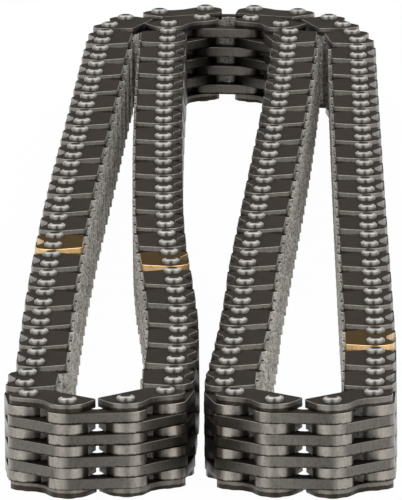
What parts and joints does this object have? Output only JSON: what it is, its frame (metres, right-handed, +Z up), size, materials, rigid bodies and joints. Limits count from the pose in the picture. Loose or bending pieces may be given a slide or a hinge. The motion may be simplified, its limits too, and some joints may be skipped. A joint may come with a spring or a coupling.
{
  "type": "silent timing chain",
  "caption": "Endless inverted-tooth timing chain of stacked steel link plates on pins, with guide plates on both sides and brass-coloured timing marks, folded into two arms.",
  "frame": {"origin": "centre of the footprint, on the surface that the pin ends stand on", "axes": "+Z up along the pins, +Y along the folded chain from its front bends to its back, +X to the right"},
  "size_m": [0.0556, 0.3582, 0.0141],
  "materials": {
    "toothed_plate": "dark oiled spring steel, blanked edges bright",
    "guide_plate": "dark oiled spring steel, blanked edges bright",
    "marker_plate": "brass-coloured plating",
    "pin": "polished hardened steel"
  },
  "bodies": {
    "outer_back": {"outer_back_pins": "pin", "outer_back_guide_plates": "guide_plate", "outer_back_toothed_plates": "toothed_plate"},
    "left_outer_back": {"left_outer_back_pins": "pin", "left_outer_back_guide_plates": "guide_plate", "left_outer_back_toothed_plates": "toothed_plate"},
    "left_outer_middle": {"left_outer_middle_pins": "pin", "left_outer_middle_guide_plates": "guide_plate", "left_outer_middle_marker_plates": "marker_plate", "left_outer_middle_toothed_plates": "toothed_plate"},
    "left_outer_front": {"left_outer_front_pins": "pin", "left_outer_front_guide_plates": "guide_plate", "left_outer_front_toothed_plates": "toothed_plate"},
    "left_front_link": {"left_front_link_toothed_plates": "toothed_plate"},
    "left_inner_front": {"left_inner_front_pins": "pin", "left_inner_front_guide_plates": "guide_plate", "left_inner_front_toothed_plates": "toothed_plate"},
    "left_inner_middle": {"left_inner_middle_pins": "pin", "left_inner_middle_guide_plates": "guide_plate", "left_inner_middle_marker_plates": "marker_plate", "left_inner_middle_toothed_plates": "toothed_plate"},
    "left_inner_back": {"left_inner_back_pins": "pin", "left_inner_back_guide_plates": "guide_plate", "left_inner_back_toothed_plates": "toothed_plate"},
    "inner_back_left": {"inner_back_left_pins": "pin", "inner_back_left_guide_plates": "guide_plate", "inner_back_left_toothed_plates": "toothed_plate"},
    "inner_back_right": {"inner_back_right_pins": "pin", "inner_back_right_guide_plates": "guide_plate", "inner_back_right_toothed_plates": "toothed_plate"},
    "right_inner_back": {"right_inner_back_pins": "pin", "right_inner_back_guide_plates": "guide_plate", "right_inner_back_toothed_plates": "toothed_plate"},
    "right_inner_middle": {"right_inner_middle_pins": "pin", "right_inner_middle_guide_plates": "guide_plate", "right_inner_middle_toothed_plates": "toothed_plate"},
    "right_inner_front": {"right_inner_front_pins": "pin", "right_inner_front_guide_plates": "guide_plate", "right_inner_front_toothed_plates": "toothed_plate"},
    "right_front_link": {"right_front_link_toothed_plates": "toothed_plate"},
    "right_outer_front": {"right_outer_front_pins": "pin", "right_outer_front_guide_plates": "guide_plate", "right_outer_front_marker_plates": "marker_plate", "right_outer_front_toothed_plates": "toothed_plate"},
    "right_outer_middle": {"right_outer_middle_pins": "pin", "right_outer_middle_guide_plates": "guide_plate", "right_outer_middle_toothed_plates": "toothed_plate"},
    "right_outer_back": {"right_outer_back_pins": "pin", "right_outer_back_guide_plates": "guide_plate", "right_outer_back_toothed_plates": "toothed_plate"}
  },
  "joints": [
    {"name": "left_arm_swing", "type": "hinge", "parent": "outer_back", "child": "left_outer_back", "pos_m": [-0.0146, 0.15978, 0], "axis": [0, 0, -1], "range_deg": [0, 9]},
    {"name": "left_arm_bend", "type": "hinge", "parent": "left_outer_back", "child": "left_outer_middle", "pos_m": [-0.0187, 0.05587, 0], "axis": [0, 0, -1], "range_deg": [0, 12]},
    {"name": "left_outer_bend_hinge", "type": "hinge", "parent": "left_outer_middle", "child": "left_outer_front", "pos_m": [-0.02249, -0.07207, 0], "axis": [0, 0, -1], "range_deg": [-8.7, 0]},
    {"name": "left_front_outer_hinge", "type": "hinge", "parent": "left_outer_front", "child": "left_front_link", "pos_m": [-0.01895, -0.17387, 0], "axis": [0, 0, -1], "range_deg": [-10.7, 0]},
    {"name": "left_front_inner_hinge", "type": "hinge", "parent": "left_front_link", "child": "left_inner_front", "pos_m": [-0.01098, -0.17317, 0], "axis": [0, 0, -1], "range_deg": [0, 10.7]},
    {"name": "left_inner_front_hinge", "type": "hinge", "parent": "left_inner_front", "child": "left_inner_middle", "pos_m": [-0.00478, -0.06342, 0], "axis": [0, 0, -1], "range_deg": [0, 8.5]},
    {"name": "left_inner_back_hinge", "type": "hinge", "parent": "left_inner_middle", "child": "left_inner_back", "pos_m": [-0.00593, 0.06457, 0], "axis": [0, 0, -1], "range_deg": [-11.8, 0]},
    {"name": "left_back_hinge", "type": "hinge", "parent": "left_inner_back", "child": "inner_back_left", "pos_m": [-0.00513, 0.16056, 0], "axis": [0, 0, -1], "range_deg": [-9.1, 0]},
    {"name": "right_arm_swing", "type": "hinge", "parent": "outer_back", "child": "right_outer_back", "pos_m": [0.02276, 0.15716, 0], "axis": [0, 0, 1], "range_deg": [0, 9]},
    {"name": "right_arm_bend", "type": "hinge", "parent": "right_outer_back", "child": "right_outer_middle", "pos_m": [0.0245, 0.05332, 0], "axis": [0, 0, 1], "range_deg": [0, 12]},
    {"name": "right_outer_bend_hinge", "type": "hinge", "parent": "right_outer_middle", "child": "right_outer_front", "pos_m": [0.02409, -0.07468, 0], "axis": [0, 0, 1], "range_deg": [-8.9, 0]},
    {"name": "right_front_outer_hinge", "type": "hinge", "parent": "right_outer_front", "child": "right_front_link", "pos_m": [0.0173, -0.17622, 0], "axis": [0, 0, 1], "range_deg": [-11.3, 0]},
    {"name": "right_front_inner_hinge", "type": "hinge", "parent": "right_front_link", "child": "right_inner_front", "pos_m": [0.00941, -0.17491, 0], "axis": [0, 0, 1], "range_deg": [0, 11.3]},
    {"name": "right_inner_front_hinge", "type": "hinge", "parent": "right_inner_front", "child": "right_inner_middle", "pos_m": [0.00628, -0.0652, 0], "axis": [0, 0, 1], "range_deg": [0, 8.7]},
    {"name": "right_inner_back_hinge", "type": "hinge", "parent": "right_inner_middle", "child": "right_inner_back", "pos_m": [0.0114, 0.06269, 0], "axis": [0, 0, 1], "range_deg": [-11.8, 0]},
    {"name": "right_back_hinge", "type": "hinge", "parent": "right_inner_back", "child": "inner_back_right", "pos_m": [0.01288, 0.15852, 0], "axis": [0, 0, 1], "range_deg": [-9.1, 0]}
  ],
  "couplings": [
    {"joint": "left_outer_bend_hinge", "follows": "left_arm_bend", "ratio": -0.72219},
    {"joint": "left_front_outer_hinge", "follows": "left_arm_swing", "ratio": -1.1888},
    {"joint": "left_front_inner_hinge", "follows": "left_arm_swing", "ratio": 1.1889},
    {"joint": "left_inner_front_hinge", "follows": "left_arm_bend", "ratio": 0.70305},
    {"joint": "left_inner_back_hinge", "follows": "left_arm_bend", "ratio": -0.98086},
    {"joint": "left_back_hinge", "follows": "left_arm_swing", "ratio": -1.0001},
    {"joint": "right_outer_bend_hinge", "follows": "right_arm_bend", "ratio": -0.7412},
    {"joint": "right_front_outer_hinge", "follows": "right_arm_swing", "ratio": -1.2518},
    {"joint": "right_front_inner_hinge", "follows": "right_arm_swing", "ratio": 1.2527},
    {"joint": "right_inner_front_hinge", "follows": "right_arm_bend", "ratio": 0.72282},
    {"joint": "right_inner_back_hinge", "follows": "right_arm_bend", "ratio": -0.98162},
    {"joint": "right_back_hinge", "follows": "right_arm_swing", "ratio": -1.0009}
  ]
}
